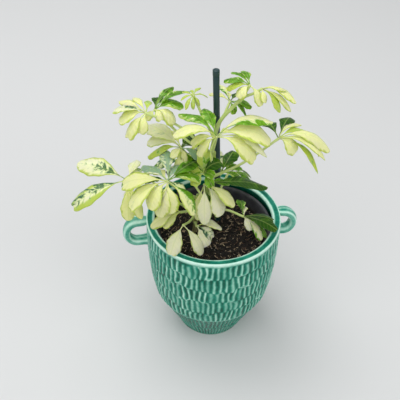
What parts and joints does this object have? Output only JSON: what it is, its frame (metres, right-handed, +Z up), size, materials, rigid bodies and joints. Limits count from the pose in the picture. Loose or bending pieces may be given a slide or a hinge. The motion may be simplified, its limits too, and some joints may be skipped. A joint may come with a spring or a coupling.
{
  "type": "potted umbrella plant",
  "caption": "Umbrella plant with cream and green leaves and a slim stake, in its nursery pot inside a glazed cachepot with an ear handle on each side.",
  "frame": {"origin": "middle of the cachepot's flat foot, on the surface that it stands on", "axes": "+Z up, the two handles on the X axis, the side meant to be looked at towards -Y"},
  "size_m": [0.2651, 0.1736, 0.3431],
  "materials": {
    "glaze": "gloss",
    "nursery_plastic": "satin",
    "potting_soil": "matte",
    "stake_plastic": "satin",
    "stem": "satin",
    "leaf": "satin"
  },
  "bodies": {
    "root": {"cachepot": "glaze", "nursery_pot": "nursery_plastic", "soil": "potting_soil", "stake": "stake_plastic", "stem_main": "stem", "stem_side": "stem", "leaf_01": "leaf", "leaf_02": "leaf", "leaf_03": "leaf", "leaf_04": "leaf", "leaf_05": "leaf", "leaf_06": "leaf", "leaf_07": "leaf", "leaf_08": "leaf", "leaf_09": "leaf", "leaf_10": "leaf", "leaf_11": "leaf", "leaf_12": "leaf", "leaf_13": "leaf", "leaf_14": "leaf", "leaf_15": "leaf", "leaf_16": "leaf", "leaf_17": "leaf", "leaf_18": "leaf", "leaf_19": "leaf", "leaf_20": "leaf", "leaf_21": "leaf"}
  },
  "joints": []
}
